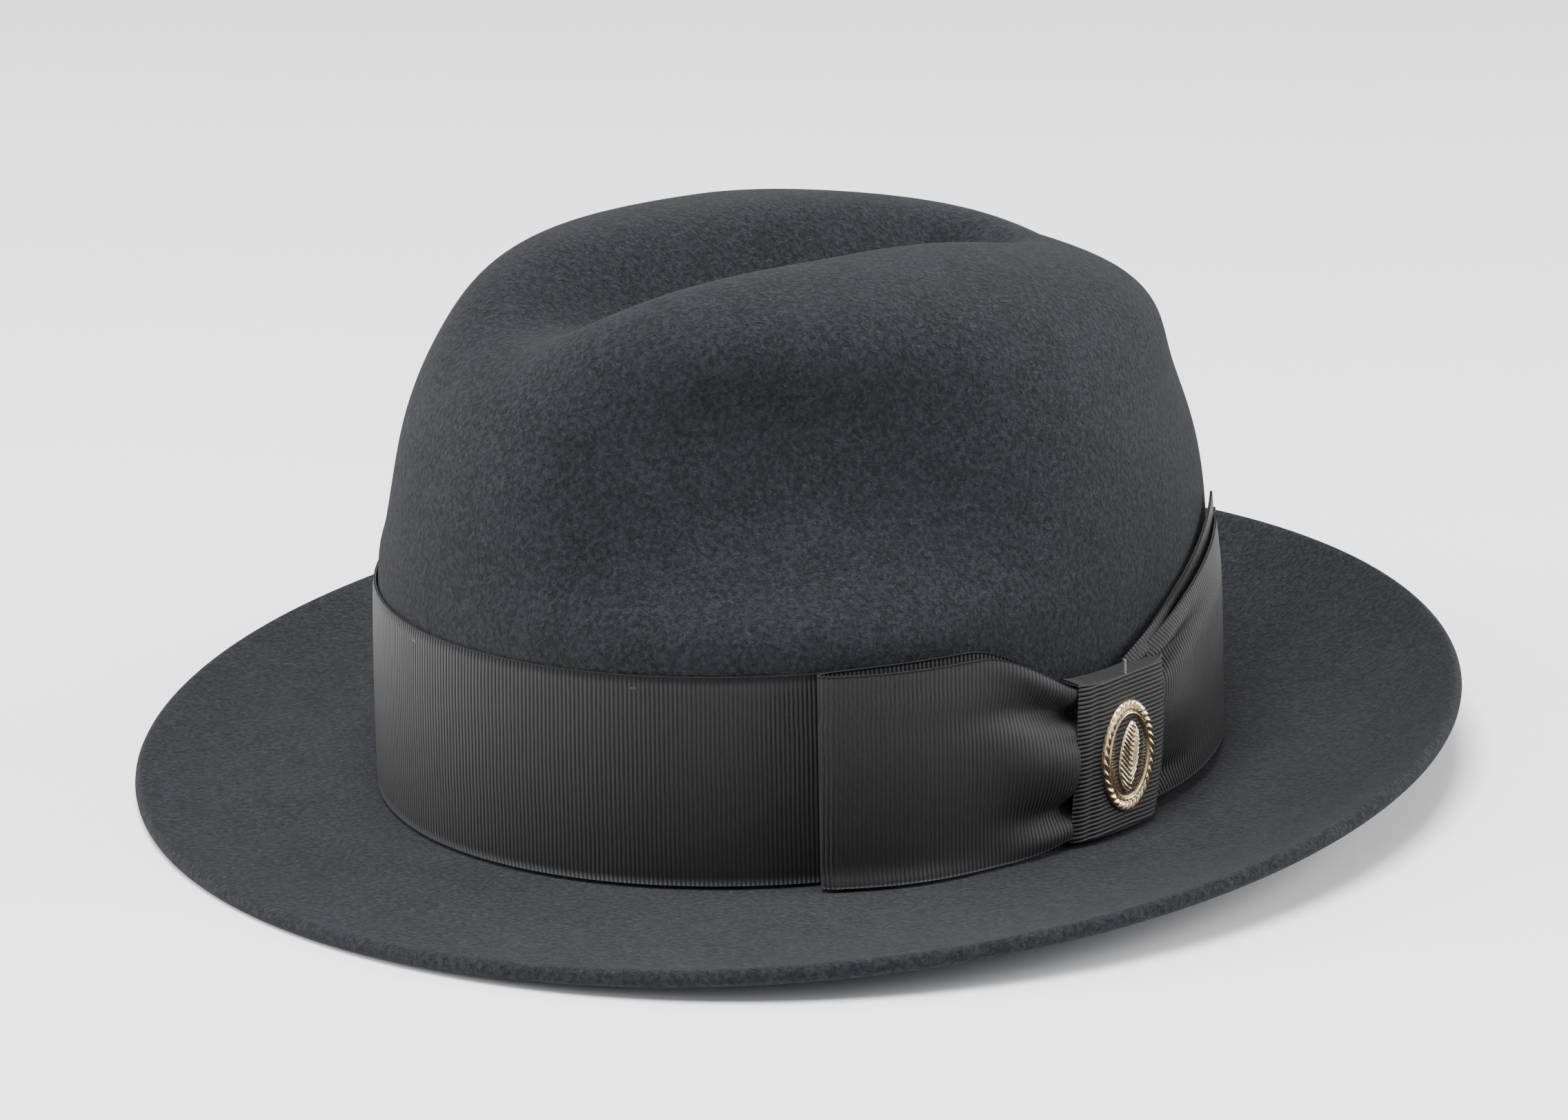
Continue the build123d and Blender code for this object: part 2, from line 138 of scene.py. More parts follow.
class FedoraTrim(bpy.types.PropertyGroup):
    """Colours of the pin and of what is inside the crown."""

    metal: bpy.props.FloatVectorProperty(
        name="Pin metal", description="Colour of the pin's high places", subtype="COLOR", size=3,
        default=(0.72, 0.58, 0.36))
    patina: bpy.props.FloatVectorProperty(
        name="Pin patina", description="Colour of the pin's recesses", subtype="COLOR", size=3,
        default=(0.16, 0.11, 0.055))
    leather: bpy.props.FloatVectorProperty(
        name="Sweatband leather", description="Colour of the sweatband", subtype="COLOR", size=3,
        default=(0.030, 0.019, 0.013))
    satin: bpy.props.FloatVectorProperty(
        name="Lining satin", description="Colour of the lining", subtype="COLOR", size=3,
        default=(0.050, 0.050, 0.056))


def felt():
    """The felt's settings."""
    return bpy.context.scene.fedora_felt


def ribbon():
    """The ribbons' settings."""
    return bpy.context.scene.fedora_ribbon


def trim():
    """The trim's settings."""
    return bpy.context.scene.fedora_trim


# ------------------------------------------------------------------ felt formula
def ease(start, end, value):
    """0 before start, 1 after end and a smooth S between, t*t*(3 - 2t)."""
    t = np.clip((value - start) / (end - start), 0.0, 1.0)
    return t * t * (3.0 - 2.0 * t)


def bump(value, middle, half):
    """Smooth bump, exp of minus the square of the distance over the half width."""
    return np.exp(-((value - middle) / half) ** 2)


def dome(angle, climb):
    """Open crown: an oval sized by a superellipse profile, climb from 0 to half pi."""
    f = felt()
    across, upward = np.cos(climb).clip(0.0), np.sin(climb)
    size = (across ** f.roundness + upward ** f.roundness) ** (-1.0 / f.roundness)
    z = f.crown_height * size * upward
    x = (f.crown_half_width - f.lean * z) * size * across * np.cos(angle)
    y = (f.crown_half_length - f.lean * z) * size * across * np.sin(angle)
    return x, y, z


CREASE_FRONT = (-0.112, -0.036)
CREASE_BACK = (0.042, 0.062)
CREASE_FLARE = -0.0055
NOSE_RISE = 0.0055
HEEL_DROP = 0.0075
PINCH_ANGLE = math.radians(62.0)
PINCH_SPREAD = math.radians(30.0)
PINCH_HEIGHT = 0.090
PINCH_REACH = 0.026
PINCH_START = (0.054, 0.068)
PINCH_WALL = 2.8
CORNER_LIFT = 0.0014
SHOULDER_HEIGHT = 0.113
SHOULDER_REACH = 0.015
BACK_SHOULDER = (math.radians(58.0), math.radians(28.0), 0.0066)
FRONT_SHOULDER = (math.radians(-62.0), math.radians(24.0), -0.0012)
BRIM_CURL = 2.4
EDGE_TAPER = 0.014


def crown(angle, climb):
    """Crown's outer face: the dome less the crease (a bump across, eased along) and pinches.

    The back shoulders are pushed out and the front ones in by bumps in angle and height.
    """
    f = felt()
    x, y, z = dome(angle, climb)
    half_width = f.crease_half_width + CREASE_FLARE * y / f.crown_half_length
    along = ease(*CREASE_FRONT, y) * (1.0 - ease(*CREASE_BACK, y))
    pressed = f.crease_depth * along * np.exp(-np.abs(x / half_width) ** 2.2)
    slope = NOSE_RISE * ease(0.020, -f.crown_half_length, y) - HEEL_DROP * ease(0.005, 0.091, y)
    turn = np.arctan2(y / f.crown_half_length, np.abs(x) / f.crown_half_width)
    from_middle = np.hypot(x / f.crown_half_width, y / f.crown_half_length)
    corner = bump(turn, *BACK_SHOULDER[:2]) * bump(from_middle, 0.76, 0.17)
    z = z + (slope - pressed + CORNER_LIFT * corner) * ease(0.45, 0.8, z / f.crown_height)
    around = np.exp(-np.abs((turn + math.pi / 2 - PINCH_ANGLE) / PINCH_SPREAD) ** PINCH_WALL)
    upward = np.exp(-np.abs((z - PINCH_HEIGHT) / PINCH_REACH) ** PINCH_WALL) * ease(*PINCH_START, z)
    depth = f.pinch_depth * around * upward * ease(0.25, 0.7, from_middle)
    shoulder = np.exp(-((z - SHOULDER_HEIGHT) / SHOULDER_REACH) ** 2) * ease(0.3, 0.75, from_middle)
    for middle, spread, push in (BACK_SHOULDER, FRONT_SHOULDER):
        depth = depth - push * shoulder * np.exp(-((turn - middle) / spread) ** 2)
    out_x, out_y = x / f.crown_half_width ** 2, y / f.crown_half_length ** 2
    size = np.hypot(out_x, out_y) + 1e-9
    return np.stack([x - depth * out_x / size, y - depth * out_y / size, z + f.thickness], -1)


def brim(angle, reach):
    """Brim's top face: ovals from the break to the edge, rising with a power of the reach."""
    f = felt()
    x = (f.crown_half_width + (FELT_HIGH[0] - f.crown_half_width) * reach) * np.cos(angle)
    y = (f.crown_half_length + (FELT_HIGH[1] - f.crown_half_length) * reach) * np.sin(angle)
    rise = f.brim_rise + f.brim_lift * np.sin(angle)
    return np.stack([x, y, f.thickness + rise * reach ** BRIM_CURL], -1)


def surface_normals(points):
    """Unit normals of a grid whose columns go round, by crossing its two differences."""
    down = np.gradient(points, axis=0)
    wrapped = np.concatenate([points[:, -1:], points, points[:, :1]], 1)
    round_it = (wrapped[:, 2:] - wrapped[:, :-2]) / 2
    normal = np.cross(down, round_it)
    return normal / (np.linalg.norm(normal, axis=-1, keepdims=True) + 1e-12)


def wall(angle, height, distance):
    """Point on the crown's plain wall at a height over the break, at a distance out from it."""
    f = felt()
    share = np.clip(height / f.crown_height, 0.0, 0.9)
    reach = (1.0 - share ** f.roundness) ** (1.0 / f.roundness)
    half_x = (f.crown_half_width - f.lean * height) * reach
    half_y = (f.crown_half_length - f.lean * height) * reach
    x, y = half_x * np.cos(angle), half_y * np.sin(angle)
    out_x, out_y = x / half_x ** 2, y / half_y ** 2
    size = np.hypot(out_x, out_y)
    return np.stack([
        x + distance * out_x / size,
        y + distance * out_y / size,
        height + f.thickness + 0.0 * x,
    ], -1)


def wobble(angle, seed, count=5):
    """Slow random waves round the hat, from -1 to 1, the same each run."""
    rng = np.random.default_rng(seed)
    total = np.zeros_like(angle)
    for turns in range(2, 2 + count):
        total = total + rng.uniform(0.3, 1.0) * np.sin(turns * angle + rng.uniform(0, 6.28)) / turns
    return total


# ------------------------------------------------------------------ mesh makers
def new_mesh(name, points, faces, uv=None, smooth=True):
    """Object from points and faces, with an optional UV for each face corner."""
    mesh = bpy.data.meshes.new(name)
    mesh.from_pydata(points.reshape(-1, 3).tolist(), [], faces)
    if uv is not None:
        layer = mesh.uv_layers.new(name="UVMap")
        corners = np.empty(len(mesh.loops), dtype=np.int32)
        mesh.loops.foreach_get("vertex_index", corners)
        layer.data.foreach_set("uv", uv.reshape(-1, 2)[corners].astype(np.float32).ravel())
    mesh.polygons.foreach_set("use_smooth", [smooth] * len(mesh.polygons))
    mesh.update()
    piece = bpy.data.objects.new(name, mesh)
    bpy.context.scene.collection.objects.link(piece)
    return piece


def grid_faces(rows, columns, wrap_rows=False, wrap_columns=False, start=0):
    """Quads of a grid of points; a wrapped direction joins its end to its start."""
    r = np.arange(rows if wrap_rows else rows - 1)[:, None]
    c = np.arange(columns if wrap_columns else columns - 1)[None, :]
    r_next, c_next = (r + 1) % rows, (c + 1) % columns
    quads = np.stack([r * columns + c, r_next * columns + c,
                      r_next * columns + c_next, r * columns + c_next], -1)
    return (quads.reshape(-1, 4) + start).tolist()


def signed_volume(points, faces):
    """Volume inside a closed mesh, negative when its faces point inwards."""
    flat = points.reshape(-1, 3)
    total = 0.0
    for size in {len(face) for face in faces}:
        chosen = np.array([face for face in faces if len(face) == size])
        for k in range(1, size - 1):
            a, b, c = flat[chosen[:, 0]], flat[chosen[:, k]], flat[chosen[:, k + 1]]
            total += float(np.einsum("ij,ij->i", a, np.cross(b, c)).sum() / 6.0)
    return total


def outward(points, faces):
    """The faces, turned round if they point inwards."""
    if signed_volume(points, faces) < 0.0:
        return [face[::-1] for face in faces]
    return faces


def pole_of(depth):
    """Point at a depth under the middle of the crown's top."""
    return crown(np.zeros(1), np.full(1, math.pi / 2))[0] - (0.0, 0.0, depth)


def closed_by_poles(name, rows, first_pole, last_pole):
    """Object from rows of points that go round, its first and last rows closed by fans."""
    count, columns = rows.shape[:2]
    points = np.concatenate([rows.reshape(-1, 3), first_pole[None], last_pole[None]])
    faces = grid_faces(count, columns, wrap_columns=True)
    here = np.arange(columns)
    there, base = (here + 1) % columns, (count - 1) * columns
    first, last = count * columns, count * columns + 1
    faces += np.stack([there, here, np.full(columns, first)], -1).tolist()
    faces += np.stack([here + base, there + base, np.full(columns, last)], -1).tolist()
    return new_mesh(name, points, outward(points, faces))


def cloth_strip(name, middle, normals, uv, thickness):
    """Closed strip of cloth: a sheet of points moved half a thickness each way, with a rim."""
    rows, columns = middle.shape[:2]
    front, back = middle + normals * thickness / 2, middle - normals * thickness / 2
    points = np.concatenate([front.reshape(-1, 3), back.reshape(-1, 3)])
    count = rows * columns
    faces = grid_faces(rows, columns)
    faces += [face[::-1] for face in grid_faces(rows, columns, start=count)]
    rim = list(range(columns)) + [r * columns + columns - 1 for r in range(1, rows)]
    rim += [(rows - 1) * columns + c for c in range(columns - 2, -1, -1)]
    rim += [r * columns for r in range(rows - 2, 0, -1)]
    for here, there in zip(rim, rim[1:] + rim[:1]):
        faces.append([there, here, here + count, there + count])
    both = np.concatenate([uv.reshape(-1, 2), uv.reshape(-1, 2)])
    return new_mesh(name, points, outward(points, faces), both)


def sheet_normals(points):
    """Unit normals of an open grid."""
    normal = np.cross(np.gradient(points, axis=0), np.gradient(points, axis=1))
    return normal / (np.linalg.norm(normal, axis=-1, keepdims=True) + 1e-12)


def arc_length(points):
    """Distance along the rows of a grid, counted from the first row."""
    steps = np.linalg.norm(np.diff(points, axis=0), axis=-1)
    return np.concatenate([np.zeros((1,) + steps.shape[1:]), np.cumsum(steps, axis=0)])


# ------------------------------------------------------------------ materials
class Nodes:
    """Short way to build a material's nodes."""

    def __init__(self, name):
        self.material = bpy.data.materials.new(name)
        self.material.use_nodes = True
        self.tree = self.material.node_tree
        self.shader = self.tree.nodes["Principled BSDF"]

    def add(self, kind, inputs=None, **settings):
        """New node with its settings and its inputs, each a value or a socket."""
        node = self.tree.nodes.new(kind)
        for key, value in settings.items():
            setattr(node, key, value)
        for key, value in (inputs or {}).items():
            self.feed(node.inputs[key], value)
        return node

    def feed(self, socket, value):
        """Link a socket, or set it to a value."""
        if isinstance(value, bpy.types.NodeSocket):
            self.tree.links.new(value, socket)
        else:
            socket.default_value = value

    def maths(self, operation, first, second=0.0, third=0.0):
        """One Math node's result."""
        node = self.add("ShaderNodeMath", operation=operation)
        for socket, value in zip(node.inputs, (first, second, third)):
            self.feed(socket, value)
        return node.outputs[0]

    def noise(self, vector, scale, detail=3.0, roughness=0.55, distortion=0.0):
        """Noise value at a scale in cycles per metre."""
        node = self.add("ShaderNodeTexNoise", {
            "Vector": vector, "Scale": scale, "Detail": detail,
            "Roughness": roughness, "Distortion": distortion})
        return node.outputs["Fac"]

    def mix(self, amount, low, high):
        """Blend of two colours."""
        node = self.add("ShaderNodeMix", data_type="RGBA")
        self.feed(node.inputs["Factor"], amount)
        self.feed(node.inputs["A"], low)
        self.feed(node.inputs["B"], high)
        return node.outputs["Result"]

    def spread(self, value, low, high, new_low=0.0, new_high=1.0):
        """Value moved from one range to another, and held inside it."""
        node = self.add("ShaderNodeMapRange", {
            "Value": value, "From Min": low, "From Max": high,
            "To Min": new_low, "To Max": new_high})
        return node.outputs[0]

    def bump(self, height, depth, strength=1.0, under=None):
        """Bump from a height that is worth depth metres."""
        node = self.add("ShaderNodeBump",
                        {"Height": height, "Distance": depth, "Strength": strength})
        if under is not None:
            self.feed(node.inputs["Normal"], under)
        return node.outputs[0]

    def set(self, **values):
        """Set or link the shader's own sockets."""
        for key, value in values.items():
            self.feed(self.shader.inputs[key.replace("_", " ")], value)
        return self.material


def rgba(colour):
    """Colour with full alpha."""
    return (*colour[:3], 1.0)


def shade_of(colour, share):
    """Colour times a share, with full alpha."""
    return rgba([share * part for part in colour])


def felt_material():
    """Brushed felt: mottled base, crossing fibres, light loose nap and a faint sheen."""
    n = Nodes("felt_charcoal")
    place = n.add("ShaderNodeTexCoord").outputs["Object"]
    cloud = n.noise(place, 70.0, 3.0, 0.6)
    mottle = n.noise(place, 820.0, 3.0, 0.6, 0.4)
    grain = n.noise(place, 1300.0, 4.0, 0.7, 0.8)
    hairs = 0.0
    for turn in ((0.3, 0.5, 0.7), (1.1, -0.4, 2.0)):
        laid = n.add("ShaderNodeMapping", {"Vector": place, "Scale": (1.0, 0.16, 0.9),
                                           "Rotation": turn}).outputs[0]
        hairs = n.maths("MAXIMUM", hairs, n.noise(laid, 2100.0, 3.0, 0.7, 2.6))
    tone = n.maths("ADD", n.spread(mottle, 0.40, 0.62, 0.0, 0.45),
                   n.spread(grain, 0.38, 0.62, 0.0, 0.40))
    tone = n.maths("ADD", tone, n.spread(cloud, 0.35, 0.65, 0.0, 0.15))
    base = n.mix(tone, shade_of(felt().colour, 0.32), shade_of(felt().colour, 1.75))
    loose = n.maths("MULTIPLY", n.spread(hairs, 0.58, 0.70), n.spread(mottle, 0.45, 0.62))
    colour = n.mix(n.maths("MULTIPLY", loose, 0.85), base, rgba(felt().nap_colour))
    height = n.maths("ADD", n.maths("MULTIPLY", grain, 0.6), n.maths("MULTIPLY", hairs, 0.4))
    normal = n.bump(height, 0.0010, 0.8)
    normal = n.bump(mottle, 0.0016, 0.5, normal)
    return n.set(Base_Color=colour, Roughness=0.95, Normal=normal, Sheen_Weight=0.05,
                 Sheen_Roughness=0.5, Specular_IOR_Level=0.10)


def ribbon_material(name="grosgrain_black"):
    """Grosgrain: round ribs along U and fine warp threads over them."""
    n = Nodes(name)
    uv = n.add("ShaderNodeUVMap", uv_map="UVMap").outputs[0]
    split = n.add("ShaderNodeSeparateXYZ", {"Vector": uv})
    along, across = split.outputs[0], split.outputs[1]
    drift = n.spread(n.noise(uv, 60.0, 2.0), 0.3, 0.7, -0.00010, 0.00010)
    phase = n.maths("MULTIPLY", n.maths("ADD", along, drift), 2.0 * math.pi / ribbon().rib_pitch)
    rib = n.spread(n.maths("SINE", phase), -1.0, 1.0)
    rounded = n.maths("POWER", rib, 0.55)
    weave = n.maths("SINE", n.maths("MULTIPLY", across, 2.0 * math.pi / 0.00034))
    odd = n.maths("SINE", n.maths("MULTIPLY", phase, 0.5))
    threads = n.spread(n.maths("MULTIPLY", weave, odd), -1.0, 1.0)
    fuzz = n.noise(uv, 5200.0, 3.0)
    # painted shade: the tone drops to the groove colour between the ribs and dims where the warp
    # threads dip; the fuzz noise on top is random tone
    tone = n.maths("MULTIPLY", rounded, n.spread(threads, 0.0, 1.0, 0.55, 1.0))
    tone = n.maths("MULTIPLY", tone, n.spread(fuzz, 0.3, 0.7, 0.7, 1.15))
    colour = n.mix(tone, rgba(ribbon().painted_groove_shade), rgba(ribbon().colour))
    normal = n.bump(rounded, 0.00030, 1.0)
    normal = n.bump(threads, 0.00006, 0.8, normal)
    return n.set(Base_Color=colour, Roughness=0.55, Normal=normal, Sheen_Weight=0.04,
                 Sheen_Roughness=0.4, Specular_IOR_Level=0.32)


def metal_material():
    """Antiqued brass: bright high places, dark recesses by height, fine pitting."""
    n = Nodes("antique_brass")
    place = n.add("ShaderNodeTexCoord").outputs["Object"]
    height = n.add("ShaderNodeAttribute", attribute_name="relief").outputs["Fac"]
    pits = n.noise(place, 2600.0, 4.0, 0.65)
    stain = n.noise(place, 420.0, 3.0, 0.6)
    high = n.spread(n.maths("ADD", height, n.spread(pits, 0.3, 0.7, -0.10, 0.10)), 0.10, 0.60)
    colour = n.mix(high, rgba(trim().patina), rgba(trim().metal))
    rough = n.spread(n.maths("ADD", stain, n.maths("MULTIPLY", high, -0.35)), 0.1, 0.7, 0.24, 0.55)
    return n.set(Base_Color=colour, Metallic=1.0, Roughness=rough,
                 Normal=n.bump(pits, 0.00005, 0.6))


def leather_material():
    """Roan leather: small grain cells, fine creases and a low gloss."""
    n = Nodes("sweat_leather")
    place = n.add("ShaderNodeTexCoord").outputs["Object"]
    cells = n.add("ShaderNodeTexVoronoi", {"Vector": place, "Scale": 900.0},
                  feature="DISTANCE_TO_EDGE").outputs["Distance"]
    crease = n.noise(place, 150.0, 5.0, 0.6)
    grain = n.spread(cells, 0.0, 0.25)
    tone = n.maths("MULTIPLY", grain, n.spread(crease, 0.3, 0.7, 0.5, 1.0))
    colour = n.mix(tone, shade_of(trim().leather, 0.45), shade_of(trim().leather, 1.3))
    normal = n.bump(crease, 0.0004, 0.5, n.bump(grain, 0.00012, 0.7))
    return n.set(Base_Color=colour, Roughness=0.5, Normal=normal, Coat_Weight=0.08)


def satin_material():
    """Satin lining: fine float threads, soft creases and a strong sheen."""
    n = Nodes("lining_satin")
    place = n.add("ShaderNodeTexCoord").outputs["Object"]
    soft = n.noise(place, 45.0, 3.0, 0.5)
    lines = n.add("ShaderNodeTexWave", {"Vector": place, "Scale": 900.0, "Distortion": 1.0},
                  bands_direction="DIAGONAL").outputs["Fac"]
    tone = n.maths("ADD", n.maths("MULTIPLY", soft, 0.7), n.maths("MULTIPLY", lines, 0.3))
    colour = n.mix(tone, shade_of(trim().satin, 0.6), shade_of(trim().satin, 1.5))
    normal = n.bump(lines, 0.00003, 0.5, n.bump(soft, 0.002, 0.4))
    return n.set(Base_Color=colour, Roughness=0.36, Normal=normal, Sheen_Weight=0.4,
                 Sheen_Roughness=0.3)


def thread_material(name, colour):
    """Twisted thread: fine slanting strands."""
    n = Nodes(name)
    place = n.add("ShaderNodeTexCoord").outputs["Object"]
    twist = n.add("ShaderNodeTexWave", {"Vector": place, "Scale": 700.0, "Distortion": 2.0},
                  bands_direction="DIAGONAL").outputs["Fac"]
    tone = n.mix(twist, shade_of(colour, 0.5), rgba(colour))
    return n.set(Base_Color=tone, Roughness=0.8, Normal=n.bump(twist, 0.0001, 0.7),
                 Sheen_Weight=0.3)


def tape_material(name, colour):
    """Plain woven tape: two crossed sets of threads."""
    n = Nodes(name)
    place = n.add("ShaderNodeTexCoord").outputs["Object"]
    one = n.add("ShaderNodeTexWave", {"Vector": place, "Scale": 420.0, "Distortion": 0.6},
                bands_direction="Z").outputs["Fac"]
    two = n.add("ShaderNodeTexWave", {"Vector": place, "Scale": 420.0, "Distortion": 0.6},
                bands_direction="X").outputs["Fac"]
    weave = n.maths("MULTIPLY", one, two)
    tone = n.mix(weave, shade_of(colour, 0.55), rgba(colour))
    return n.set(Base_Color=tone, Roughness=0.85, Normal=n.bump(weave, 0.00015, 0.8))


def reed_material():
    """Extruded plastic reed with faint drawing lines."""
    n = Nodes("reed_plastic")
    place = n.add("ShaderNodeTexCoord").outputs["Object"]
    lines = n.noise(place, 700.0, 2.0)
    colour = n.mix(lines, (0.07, 0.065, 0.06, 1.0), (0.13, 0.12, 0.11, 1.0))
    return n.set(Base_Color=colour, Roughness=0.4, Normal=n.bump(lines, 0.00005, 0.4))


def coat(piece, material):
    """Give a piece one material."""
    piece.data.materials.clear()
    piece.data.materials.append(material)


def finish_piece(piece, material, slot, body, *nodes):
    """Material, body and the frame nodes that a new piece stands for; slot is not used."""
    coat(piece, material)
    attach(piece, body)
    if nodes:
        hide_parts(*nodes)


# ------------------------------------------------------------------ felt body
FELT_COLUMNS = 352
CROWN_ROWS = 92
BRIM_ROWS = 44
EDGE_ROWS = 11


def felt_surface():
    """Rows of points over one closed sheet, and the crown's pole.

    The rows run from near the pole down the crown, out over the brim, round its edge by
    half circles, back along the underside and up the crown's inner face to the pole again.
    """
    f = felt()
    angle = np.linspace(0.0, 2.0 * math.pi, FELT_COLUMNS, endpoint=False)[None, :]
    climb = np.linspace(math.pi / 2, 0.0, CROWN_ROWS)[1:, None]
    outer = crown(angle + 0.0 * climb, climb + 0.0 * angle)
    normal = surface_normals(outer)
    inner = outer - normal * np.sign(normal[-1, :1, :1]) * f.thickness
    reach = np.linspace(0.0, 1.0, BRIM_ROWS)[1:, None]
    width = FELT_HIGH[0] - f.crown_half_width
    top = brim(angle + 0.0 * reach, reach * (1.0 - 0.5 * f.edge_thickness / width) + 0.0 * angle)
    extra = (f.edge_thickness - f.thickness) * (1.0 - ease(0.0, EDGE_TAPER, (1.0 - reach) * width))
    up = np.array([0.0, 0.0, 1.0])
    under = top - up * (f.thickness + extra)[..., None]
    out = np.concatenate([np.cos(angle), np.sin(angle), 0.0 * angle]).T
    middle = (top[-1] + under[-1]) / 2
    half = np.linalg.norm(top[-1] - under[-1], axis=-1, keepdims=True) / 2
    edge = np.stack([middle + half * (out * math.sin(swing) + up * math.cos(swing))
                     for swing in np.linspace(0.0, math.pi, EDGE_ROWS)[1:-1]])
    base = inner[-1:] * (1.0, 1.0, 0.0)
    rows = np.concatenate([outer, top, edge, under[::-1], base, inner[::-1][1:]])
    return rows, pole_of(0.0)


def felt_piece():
    """The felt as one object, its two poles closed with fans."""
    rows, pole = felt_surface()
    return closed_by_poles("felt_crown_and_brim", rows, pole, pole_of(felt().thickness))


class FEDORA_OT_felt(bpy.types.Operator):
    """Build the felt crown and brim"""

    bl_idname = "fedora.felt"
    bl_label = "Felt body"

    def execute(self, context):
        piece = felt_piece()
        finish_piece(piece, felt_material(), "felt", HAT, "felt_body")
        return {"FINISHED"}


# ------------------------------------------------------------------ ribbons
RIBBON_WIDTH = 0.050
BAND_BOTTOM = 0.001
BAND_OUT = 0.00025
BAND_MIDDLE = BAND_BOTTOM + RIBBON_WIDTH / 2
KNOT_ANGLE = math.radians(16.0)
KNOT_HALF = math.radians(8.2)
KNOT_WIDTH = 0.027
FOLD_ANGLE = math.radians(-26.0)
REAR_ANGLE = math.radians(60.0)
WAIST_LOW, WAIST_HIGH = -0.0225, 0.0115
LAYER = 0.0012
BAND_DRAWN_DOWN = 0.0145
BAND_DRAWN_FRONT = (math.radians(-12.0), math.radians(8.0))
BAND_DRAWN_REAR = (math.radians(22.0), math.radians(42.0))


def ribbon_strip(name, middle, uv):
    """A piece of ribbon, as thick as the hatband's, about its middle surface."""
    return cloth_strip(name, middle, sheet_normals(middle), uv, ribbon().thickness)


def band_piece(material):
    """Hatband: the ribbon round the wall, with slow waves and a slight roll at its edges.

    Its upper edge is drawn down behind the knot, eased in and out on each side.
    """
    angle = np.linspace(0.0, 2.0 * math.pi, 721)[:, None]
    across = np.linspace(0.0, 1.0, 25)[None, :]
    turned = (angle + math.pi) % (2.0 * math.pi) - math.pi
    drawn = ease(*BAND_DRAWN_FRONT, turned) * (1.0 - ease(*BAND_DRAWN_REAR, turned))
    height = BAND_BOTTOM + (RIBBON_WIDTH - BAND_DRAWN_DOWN * drawn) * across
    edge = np.minimum(across, 1.0 - across) * RIBBON_WIDTH
    roll = 0.00035 * (1.0 - ease(0.0, 0.0022, edge))
    slack = 0.00022 * wobble(angle, 5) * (0.4 + across * (1.0 - across))
    distance = BAND_OUT + ribbon().thickness / 2 + 0.0003 - roll * 0.5 + np.abs(slack)
    middle = wall(angle + 0.0 * across, height, distance)
    uv = np.stack([arc_length(middle).mean(1, keepdims=True) + 0.0 * across,
                   RIBBON_WIDTH * across + 0.0 * angle], -1)
    piece = ribbon_strip("grosgrain_hatband", middle, uv)
    finish_piece(piece, material, "ribbon", HAT, "hatband")


def front_loop_piece(material):
    """Front loop: from the knot out to the fold, round it, and back under itself.

    Share runs from 0 at the knot to 1 at the fold.  The height is full for most of it
    and eases down to the waist; a belly and two valleys beside it fade away from the knot.
    """
    steps = np.linspace(0.0, 1.0, 220)[:, None]
    across = np.linspace(0.0, 1.0, 81)[None, :]
    fold, round_fold = 0.5, 0.022
    share = np.where(steps < fold, steps / fold, (1.0 - steps) / (1.0 - fold))
    start = KNOT_ANGLE - 0.55 * KNOT_HALF
    angle = start + (FOLD_ANGLE - start) * share
    low = WAIST_LOW + (-RIBBON_WIDTH / 2 - WAIST_LOW) * ease(0.0, 0.35, share)
    high = WAIST_HIGH + (RIBBON_WIDTH / 2 + 0.0005 - WAIST_HIGH) * ease(0.03, 0.46, share) ** 0.8
    height = BAND_MIDDLE + low + (high - low) * across
    back = steps > fold
    hollow = 0.0009 * bump(share, 0.6, 0.25) - 0.0012 * bump(share, 1.0, 0.16)
    front_out = LAYER + ribbon().fold_stand + hollow
    back_out = LAYER + 0.0003 + 0.0008 * bump(share, 1.0, 0.12)
    middle_out = (front_out + back_out) / 2
    swing = np.clip((steps - fold) / round_fold, -1.0, 1.0)
    layer = middle_out - (front_out - middle_out) * np.sign(swing) * np.sqrt(np.abs(swing))
    near = bump(share, 0.0, 0.30)
    pleats = (0.0030 * bump(across, 0.50, 0.22) * bump(share, 0.20, 0.17)
              + 0.0016 * bump(across, 0.95, 0.08) * bump(share, 0.24, 0.14)
              + 0.0012 * bump(across, 0.06, 0.08) * bump(share, 0.18, 0.14)
              - 0.0048 * bump(across, 0.83 - 0.12 * (1.0 - near), 0.075) * near
              * ease(0.0, 0.06, share)
              - 0.0034 * bump(across, 0.20, 0.075) * bump(share, 0.0, 0.24) * ease(0.0, 0.06, share)
              - 0.0006 * bump(across, 0.64, 0.045) * bump(share, 0.0, 0.16)
              - 0.0022 * (1.0 - ease(0.0, 0.12, share)))
    curl = 0.0008 * bump(across, 0.0, 0.05) * ease(0.3, 0.7, share)
    distance = np.maximum(layer + np.where(back, 0.0, pleats) + curl, back_out)
    lag = 0.010 * bump(share, 0.0, 0.35) * (across - 0.5)
    middle = wall(angle + lag + 0.0 * across, height, distance)
    u = arc_length(middle)
    u = 0.15 * u + 0.85 * u[:, 40:41]
    uv = np.stack([u, RIBBON_WIDTH * across + 0.0 * u], -1)
    piece = ribbon_strip("bow_front_loop_ribbon", middle, uv)
    finish_piece(piece, material, "ribbon", HAT, "bow_front_loop")


